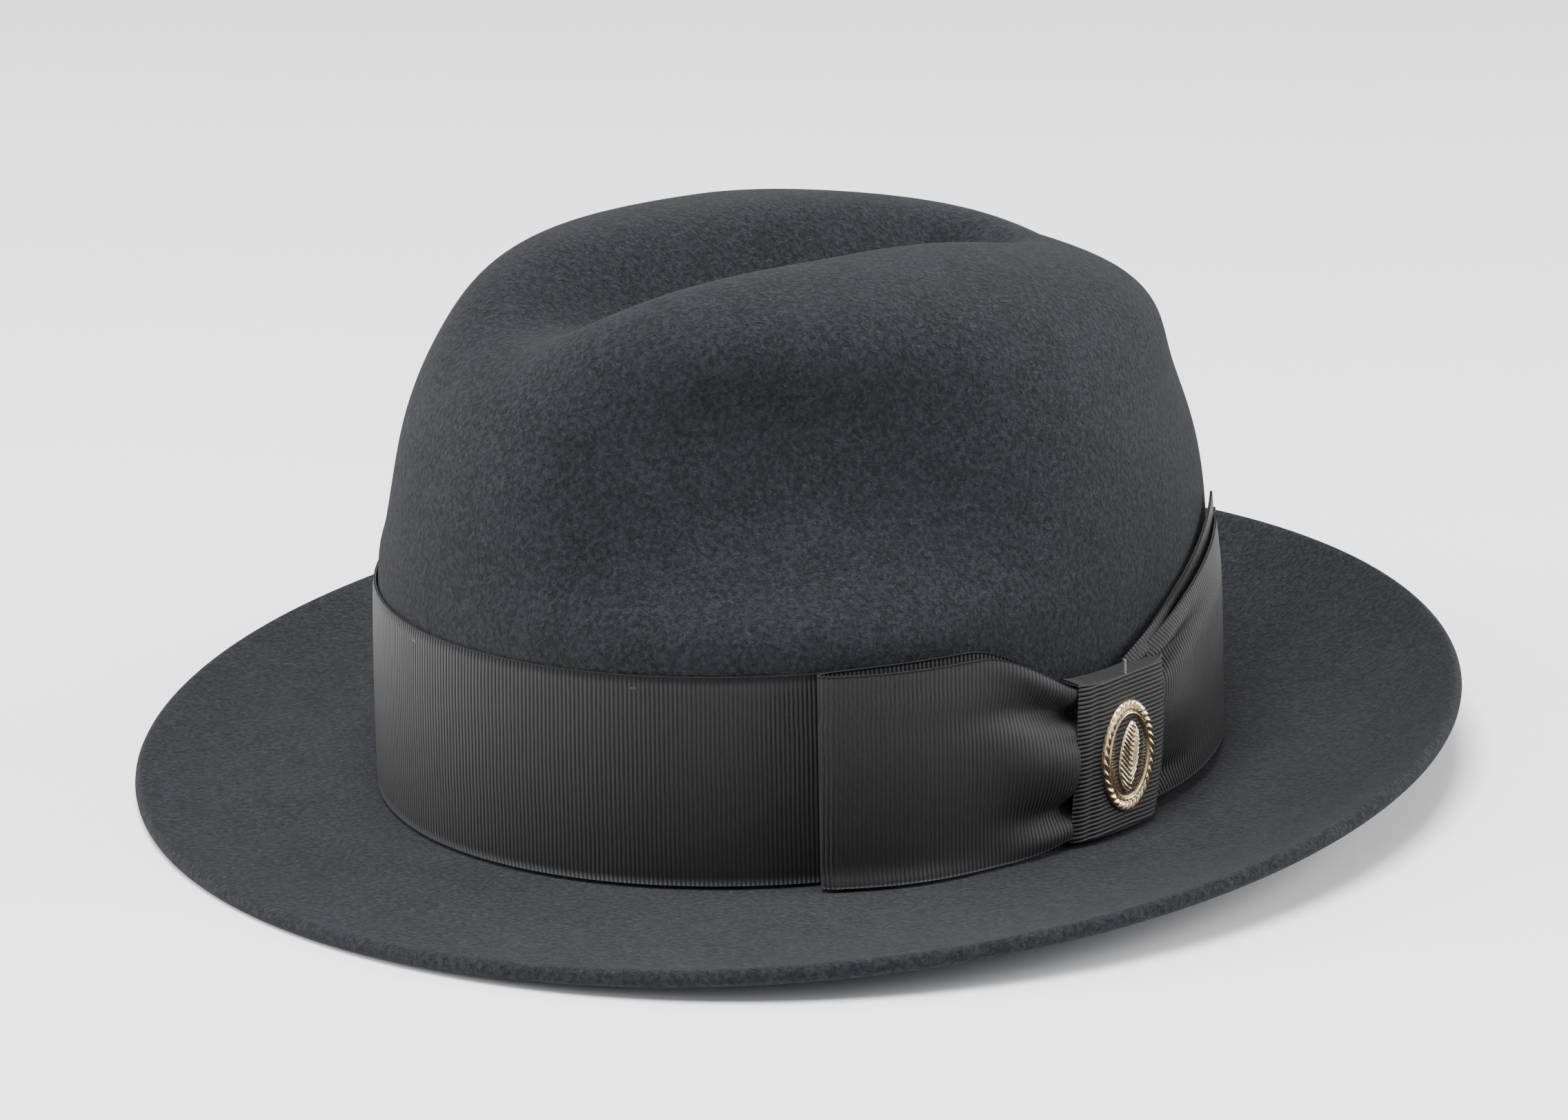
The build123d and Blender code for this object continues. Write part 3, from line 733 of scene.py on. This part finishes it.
def rear_loop_piece(material):
    """Rear loop: fans out from the knot in S-shaped ribs to a soft fold at its back.

    Its upper edge rises faster than its lower one falls; a belly, a rolled pleat along
    the upper edge and one valley fade away from the knot.
    """
    steps = np.linspace(0.0, 1.0, 150)[:, None]
    across = np.linspace(0.0, 1.0, 81)[None, :]
    start = KNOT_ANGLE + 0.5 * KNOT_HALF
    low = WAIST_LOW + (-0.0215 - WAIST_LOW) * ease(0.0, 0.8, steps)
    high = WAIST_HIGH + (0.0318 - WAIST_HIGH) * steps ** 0.62
    height = BAND_MIDDLE + low + (high - low) * across
    slant = 0.05 * (across - 0.4) * steps ** 2
    angle = start + (REAR_ANGLE - math.radians(2.0) - start) * steps - slant
    puff = 0.0030 * np.sin(math.pi * steps ** 0.7).clip(0.0) ** 0.8
    pleats = (0.0026 * bump(across, 0.52, 0.24) * bump(steps, 0.16, 0.18)
              + 0.0026 * bump(across, 0.93, 0.06) * bump(steps, 0.10, 0.22)
              - 0.0030 * bump(across, 0.82, 0.06) * bump(steps, 0.0, 0.35) * ease(0.0, 0.05, steps)
              - 0.0020 * bump(across, 0.14, 0.07) * bump(steps, 0.0, 0.22) * ease(0.0, 0.05, steps)
              - 0.0016 * (1.0 - ease(0.0, 0.10, steps)))
    closing = ease(0.90, 1.0, steps)
    lying = 1.0 - 0.55 * ease(0.75, 1.0, across)
    distance = LAYER + 0.0012 + puff * (1.0 - 0.6 * closing) * lying + pleats
    distance = np.maximum(distance - 0.0004 * closing, LAYER + 0.0010)
    middle = wall(angle, height, distance)
    u = arc_length(middle)
    sway = 0.0050 * np.sin(2.0 * math.pi * across * 0.85 + 0.5) * (1.0 - steps) ** 0.6
    uv = np.stack([0.3 * u + 0.7 * u[:, 40:41] + sway, RIBBON_WIDTH * across + 0.0 * u], -1)
    piece = ribbon_strip("bow_rear_loop_ribbon", middle, uv)
    finish_piece(piece, material, "ribbon", HAT, "bow_rear_loop")


def tail_piece(material):
    """Tail: the ribbon's cut end behind the rear loop, its corner standing over the band."""
    steps = np.linspace(0.0, 1.0, 110)[:, None]
    across = np.linspace(0.0, 1.0, 61)[None, :]
    start = KNOT_ANGLE + 0.4 * KNOT_HALF
    angle = start + (REAR_ANGLE - math.radians(3.5) - start) * steps - 0.05 * (across - 0.5) * steps
    low = WAIST_LOW + (-0.0215 - WAIST_LOW) * steps
    high = WAIST_HIGH + 0.0022 + (0.0365 - WAIST_HIGH - 0.0022) * steps ** 0.90
    height = BAND_MIDDLE + low + (high - low) * across
    lift = 0.0005 * steps ** 2 * ease(0.6, 1.0, across)
    fold = 0.0036 * bump(across, 0.95, 0.045) * bump(steps, 0.05, 0.22)
    middle = wall(angle, height, LAYER + 0.0002 + lift + fold)
    u = arc_length(middle)
    uv = np.stack([0.4 * u + 0.6 * u[:, 30:31] + 0.004 * across * steps,
                   RIBBON_WIDTH * across + 0.0 * u], -1)
    piece = ribbon_strip("bow_tail_ribbon", middle, uv)
    finish_piece(piece, material, "ribbon", HAT, "bow_tail")


def knot_piece(material):
    """Knot: a ribbon wrapped over the waist, its top and bottom turned in towards the band."""
    wrap = np.linspace(0.0, 1.0, 90)[:, None]
    across = np.linspace(-1.0, 1.0, 49)[None, :]
    turned = 0.14
    flat_share = np.clip((wrap - turned) / (1.0 - 2.0 * turned), 0.0, 1.0)
    low, high = WAIST_LOW - 0.0017, WAIST_HIGH + 0.0017
    height = BAND_MIDDLE + low + (high - low) * flat_share
    depth_low = 1.0 - ease(0.0, turned, wrap)
    depth_high = ease(1.0 - turned, 1.0, wrap)
    top = LAYER + 0.0068
    bulge = 0.0007 * (1.0 - across ** 2) + 0.0004 * np.sin(math.pi * flat_share)
    edge_round = 0.0016 * np.abs(across) ** 8
    distance = top + bulge - edge_round - 0.0058 * (depth_low + depth_high) ** 1.4
    bulging = 0.10 * np.sin(math.pi * flat_share) * (across > 0) + 0.02 * (across < 0)
    half = KNOT_HALF * (0.93 + bulging)
    lean = 0.030 * (flat_share - 0.5)
    angle = KNOT_ANGLE + half * across + lean
    folds = 0.00035 * np.exp(-((across + 0.72) / 0.08) ** 2)
    middle = wall(angle, height, distance - folds)
    u = arc_length(middle)
    v = KNOT_WIDTH * across / 2.0
    bend = 0.0011 * across ** 2
    uv = np.stack([u[:, 24:25] + bend + 0.0 * u, v + 0.0 * u], -1)
    piece = ribbon_strip("bow_knot_ribbon", middle, uv)
    finish_piece(piece, material, "ribbon", HAT, "bow_knot")


class FEDORA_OT_ribbons(bpy.types.Operator):
    """Build the hatband and the bow"""

    bl_idname = "fedora.ribbons"
    bl_label = "Hatband and bow"

    def execute(self, context):
        material = ribbon_material()
        band_piece(material)
        tail_piece(material)
        front_loop_piece(material)
        rear_loop_piece(material)
        knot_piece(material)
        return {"FINISHED"}


# ------------------------------------------------------------------ pin
PIN_HALF_WIDTH = 0.0088
PIN_HALF_HEIGHT = 0.0136
PIN_ROWS = 96
PIN_COLUMNS = 240
PIN_RELIEF = 0.0011
PIN_SINK = 0.0001
PIN_BACK = 0.0006
PIN_FLARE = 1.004
ROPE_STRANDS = 34
FIELD_RAYS = 72
BEADS = 40
FIELD_LEVEL = 0.12
LEAF_HALF_HEIGHT = 0.0082
LEAF_HALF_WIDTH = 0.0033
LEAF_BARB = 0.00115


def badge_axes():
    """Centre of the pin's frame node, and its directions round the hat, up and outwards."""
    low, high = (np.array(corner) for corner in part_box("badge_plate"))
    slide = next(joint for joint in frame["joints"] if joint["name"] == "badge_pull")
    out = np.array(slide["axis"], dtype=float)
    out /= np.linalg.norm(out)
    side = np.cross((0.0, 0.0, 1.0), out)
    side /= np.linalg.norm(side)
    return (low + high) / 2, side, np.cross(out, side), out


def feather_relief(x, y):
    """Height of a leaf with a curved spine: a pointed oval with slanting barbs."""
    spine = 0.0011 * np.sin(y / 0.0075)
    taper = np.clip(1.0 - np.abs(y / LEAF_HALF_HEIGHT) ** 2.4, 0.0, 1.0) ** 0.75
    half = LEAF_HALF_WIDTH * taper + 1e-6
    side = (x - spine) / half
    inside = ease(1.05, 0.85, np.abs(side)) * (np.abs(y) < LEAF_HALF_HEIGHT)
    barbs = 0.5 + 0.5 * np.sin((y - np.abs(x - spine) * 1.1) * 2.0 * math.pi / LEAF_BARB)
    rib = np.exp(-((x - spine) / 0.00028) ** 2)
    return inside * (0.45 + 0.30 * (1.0 - side ** 2).clip(0.0) + 0.22 * barbs) + 0.5 * rib * inside


def medallion_height(x, y, share, turn):
    """Relief of the pin's face, 0 in its recesses and about 1 at its highest.

    A round rope of slanting strands, a plain ring inside it, beads between the two, a
    field of fine rays and the leaf are added together.
    """
    rope_place = (share - 0.91) / 0.085
    rope = np.sqrt((1.0 - rope_place ** 2).clip(0.0))
    strands = 0.72 + 0.28 * np.sin(ROPE_STRANDS * turn + 3.2 * rope_place)
    ring = np.exp(-((share - 0.765) / 0.030) ** 2)
    rays = 0.5 + 0.5 * np.cos(FIELD_RAYS * turn)
    field = ease(0.74, 0.66, share) * 0.13 * rays * ease(0.15, 0.5, share)
    beads = 0.5 + 0.5 * np.cos(BEADS * turn)
    height = 0.95 * rope * strands + 0.62 * ring + FIELD_LEVEL + field
    height = height + 0.30 * beads * np.exp(-((share - 0.83) / 0.016) ** 2)
    return height + 0.95 * feather_relief(x, y) * ease(0.72, 0.66, share)


def medallion_piece():
    """Oval pin: a polar grid raised by its relief, closed by a flat back."""
    centre, side, up, out = badge_axes()
    share = np.linspace(0.0, 1.0, PIN_ROWS)[1:, None]
    turn = np.linspace(0.0, 2.0 * math.pi, PIN_COLUMNS, endpoint=False)[None, :]
    x, y = PIN_HALF_WIDTH * share * np.cos(turn), PIN_HALF_HEIGHT * share * np.sin(turn)
    height = medallion_height(x, y, share, turn)
    face = (centre + side * x[..., None] + up * y[..., None]
            + out * (PIN_RELIEF * height - PIN_SINK)[..., None])
    rim_x, rim_y = PIN_FLARE * x[-1:, :, None], PIN_FLARE * y[-1:, :, None]
    rim = centre + side * rim_x + up * rim_y - out * PIN_BACK
    top = float(feather_relief(0.0, 0.0) + FIELD_LEVEL)
    piece = closed_by_poles("oval_pin", np.concatenate([face, rim]),
                            centre + out * (PIN_RELIEF * top - PIN_SINK), centre - out * PIN_BACK)
    values = np.concatenate([height.ravel(), np.full(PIN_COLUMNS, 0.3), [0.8, 0.3]])
    layer = piece.data.attributes.new("relief", "FLOAT", "POINT")
    layer.data.foreach_set("value", values.astype(np.float32))
    return piece


class FEDORA_OT_pin(bpy.types.Operator):
    """Build the oval pin on the knot, and finish its posts and thread"""

    bl_idname = "fedora.pin"
    bl_label = "Oval pin"

    def execute(self, context):
        metal = metal_material()
        finish_piece(medallion_piece(), metal, "badge_metal", BADGE, "badge_plate")
        coat(frame["nodes"]["badge_posts"], metal)
        coat(frame["nodes"]["badge_thread"], thread_material("tacking_thread", (0.16, 0.16, 0.16)))
        coat(frame["nodes"]["hatband_tacks"],
             thread_material("black_thread", (0.012, 0.012, 0.012)))
        return {"FINISHED"}


# ------------------------------------------------------------------ inside
SWEAT_COLUMNS = 360
SWEAT_ROWS = 60
SWEAT_THICKNESS = 0.0009
SWEAT_GAP = 0.0009
SWEAT_RIPPLE = 0.0006
LINING_COLUMNS = 360
LINING_ROWS = 70
LINING_START = 0.047
LINING_GAP = 0.0010
LINING_THICKNESS = 0.0003
LINING_PLEATS = 60
LINING_PLEAT_DEPTH = 0.00045
LINING_SEAM = 0.0006


def sweatband_piece():
    """Leather ring: a rounded upright section carried round the wall, with slow ripples.

    The section is a superellipse; the ripples grow from its lower edge to its upper one.
    """
    low, high = (corner[2] - felt().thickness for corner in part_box("sweatband"))
    angle = np.linspace(0.0, 2.0 * math.pi, SWEAT_COLUMNS, endpoint=False)[None, :]
    turn = np.linspace(0.0, 2.0 * math.pi, SWEAT_ROWS, endpoint=False)[:, None]
    upward = np.sign(np.sin(turn)) * np.abs(np.sin(turn)) ** 0.18
    across = np.sign(np.cos(turn)) * np.abs(np.cos(turn)) ** 0.6
    height = (low + high) / 2 + (high - low) / 2 * upward + 0.0 * angle
    lean = SWEAT_RIPPLE * wobble(angle, 11, 7) * ease(0.3, 1.0, (upward + 1.0) / 2)
    distance = SWEAT_THICKNESS / 2 * across - np.abs(lean)
    distance = distance - (felt().thickness + SWEAT_GAP + SWEAT_THICKNESS / 2)
    points = wall(angle + 0.0 * turn, height, distance)
    faces = grid_faces(SWEAT_ROWS, SWEAT_COLUMNS, wrap_rows=True, wrap_columns=True)
    return new_mesh("leather_sweatband", points, outward(points, faces))


def lining_piece():
    """Lining: a satin bag a little inside the felt, with fine pleats that fade to its oval tip."""
    angle = np.linspace(0.0, 2.0 * math.pi, LINING_COLUMNS, endpoint=False)[None, :]
    start = math.atan2(LINING_START / felt().crown_height, 0.99)
    climb = np.linspace(math.pi / 2, start, LINING_ROWS)[1:, None]
    outer = crown(angle + 0.0 * climb, climb + 0.0 * angle)
    normal = surface_normals(outer)
    normal = normal * np.sign(normal[-1, :1, :1])
    fade = ease(math.radians(68.0), math.radians(40.0), climb)
    pleat = 0.5 + 0.5 * np.sin(LINING_PLEATS * angle + 0.5 * np.sin(7 * angle))
    seam = LINING_SEAM * np.exp(-((climb - math.radians(66.0)) / 0.02) ** 2)
    front_gap = felt().thickness + LINING_GAP
    gap = (front_gap + LINING_PLEAT_DEPTH * pleat * fade + seam)[..., None]
    front, back = outer - normal * gap, outer - normal * (gap + LINING_THICKNESS)
    return closed_by_poles("satin_lining", np.concatenate([front, back[::-1]]),
                           pole_of(front_gap), pole_of(front_gap + LINING_THICKNESS))


class FEDORA_OT_inside(bpy.types.Operator):
    """Build the sweatband and the lining, and finish the small pieces inside the crown"""

    bl_idname = "fedora.inside"
    bl_label = "Inside of the crown"

    def execute(self, context):
        finish_piece(sweatband_piece(), leather_material(), "sweat_leather", HAT, "sweatband")
        finish_piece(lining_piece(), satin_material(), "lining_satin", HAT, "lining")
        tape = tape_material("inner_tape", (0.035, 0.035, 0.037))
        thread = thread_material("inner_thread", (0.18, 0.16, 0.13))
        looks = {
            "reed_tape": tape, "sweatband_rear_bow": tape, "sweatband_reed": reed_material(),
            "sweatband_seam": thread, "sweatband_stitches": thread,
            "size_tag": tape_material("tag_cloth", (0.62, 0.60, 0.56)),
        }
        for node, material in looks.items():
            coat(frame["nodes"][node], material)
        return {"FINISHED"}


# ------------------------------------------------------------------ stage
CAMERA_AZIMUTH = math.radians(58.0)
CAMERA_ELEVATION = math.radians(18.4)
CAMERA_ROLL = math.radians(-1.055)
CAMERA_DISTANCE = 1.5
CAMERA_LENS = 143.7
LOOK_AT = (-0.0030, 0.0072, 0.0423)


def camera_axes():
    """The camera's right, up and back directions, from its azimuth, elevation and roll."""
    a, e, r = CAMERA_AZIMUTH, CAMERA_ELEVATION, CAMERA_ROLL
    back = np.array([math.sin(a) * math.cos(e), -math.cos(a) * math.cos(e), math.sin(e)])
    level = np.array([math.cos(a), math.sin(a), 0.0])
    upright = np.cross(back, level)
    right = math.cos(r) * level + math.sin(r) * upright
    return right, -math.sin(r) * level + math.cos(r) * upright, back


def place_camera():
    """Camera at the product view's angle, looking a little above the brim."""
    right, up, back = camera_axes()
    target = LOOK_AT[0] * right + LOOK_AT[1] * up + np.array([0.0, 0.0, LOOK_AT[2]])
    data = bpy.data.cameras.new("product_camera")
    data.lens = CAMERA_LENS
    data.sensor_width = 36.0
    camera = bpy.data.objects.new("product_camera", data)
    bpy.context.scene.collection.objects.link(camera)
    place = target + CAMERA_DISTANCE * back
    turn = np.stack([right, up, back], 1)
    camera.matrix_world = Matrix([[*row, p] for row, p in zip(turn, place)]
                                 + [[0.0, 0.0, 0.0, 1.0]])
    bpy.context.scene.camera = camera


def area_light(name, away, height, turn, size, power):
    """Soft square light at a turn round the camera's side, aimed at the crown."""
    data = bpy.data.lights.new(name, "AREA")
    data.shape = "SQUARE"
    data.size = size
    data.energy = power
    light = bpy.data.objects.new(name, data)
    angle = CAMERA_AZIMUTH + math.radians(turn)
    place = Vector((away * math.sin(angle), -away * math.cos(angle), height))
    light.location = place
    light.rotation_euler = (Vector((0.0, 0.0, 0.06)) - place).to_track_quat("-Z", "Y").to_euler()
    bpy.context.scene.collection.objects.link(light)


def floor_piece():
    """Plain pale floor."""
    size = 6.0
    points = np.array([[-size, -size, 0.0], [size, -size, 0.0],
                       [size, size, 0.0], [-size, size, 0.0]])
    floor = new_mesh("floor", points, [[0, 1, 2, 3]])
    n = Nodes("floor_paper")
    place = n.add("ShaderNodeTexCoord").outputs["Object"]
    tone = n.noise(place, 3.0, 2.0)
    coat(floor, n.set(Base_Color=n.mix(tone, (0.86, 0.86, 0.87, 1.0), (0.90, 0.90, 0.90, 1.0)),
                      Roughness=0.8))


class FEDORA_OT_stage(bpy.types.Operator):
    """Set up the camera, the soft lights and the pale floor"""

    bl_idname = "fedora.stage"
    bl_label = "Stage"

    def execute(self, context):
        place_camera()
        floor_piece()
        area_light("key_above", 0.50, 1.7, -20.0, 0.9, 78.0)
        area_light("side_left", 1.5, 0.65, -92.0, 0.9, 34.0)
        area_light("side_right", 1.5, 0.65, 92.0, 0.9, 34.0)
        area_light("front_fill", 1.9, 0.9, -15.0, 1.4, 7.0)
        world = bpy.data.worlds.new("studio")
        world.use_nodes = True
        shade = world.node_tree.nodes["Background"]
        shade.inputs["Color"].default_value = (0.93, 0.95, 1.0, 1.0)
        shade.inputs["Strength"].default_value = 0.45
        context.scene.world = world
        return {"FINISHED"}


# ------------------------------------------------------------------ add-on
class FEDORA_PT_panel(bpy.types.Panel):
    """Sidebar panel with one button for each group of pieces"""

    bl_idname = "FEDORA_PT_panel"
    bl_label = "Fedora"
    bl_space_type = "VIEW_3D"
    bl_region_type = "UI"
    bl_category = "Fedora"

    def draw(self, context):
        for group in (felt(), ribbon(), trim()):
            for key in group.bl_rna.properties.keys():
                if key not in ("rna_type", "name"):
                    self.layout.prop(group, key)
        for operator in OPERATORS:
            self.layout.operator(operator.bl_idname)


OPERATORS = (FEDORA_OT_stage, FEDORA_OT_felt, FEDORA_OT_ribbons, FEDORA_OT_pin, FEDORA_OT_inside)
CLASSES = (FedoraFelt, FedoraRibbon, FedoraTrim, *OPERATORS, FEDORA_PT_panel)


def register():
    """Register the classes and hang their settings on the scene."""
    for item in CLASSES:
        bpy.utils.register_class(item)
    bpy.types.Scene.fedora_felt = bpy.props.PointerProperty(type=FedoraFelt)
    bpy.types.Scene.fedora_ribbon = bpy.props.PointerProperty(type=FedoraRibbon)
    bpy.types.Scene.fedora_trim = bpy.props.PointerProperty(type=FedoraTrim)


def unregister():
    """Undo register."""
    del bpy.types.Scene.fedora_trim
    del bpy.types.Scene.fedora_ribbon
    del bpy.types.Scene.fedora_felt
    for item in reversed(CLASSES):
        bpy.utils.unregister_class(item)


def main():
    """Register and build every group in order."""
    register()
    bpy.ops.fedora.stage()
    bpy.ops.fedora.felt()
    bpy.ops.fedora.ribbons()
    bpy.ops.fedora.pin()
    bpy.ops.fedora.inside()


if __name__ == "__main__":
    main()
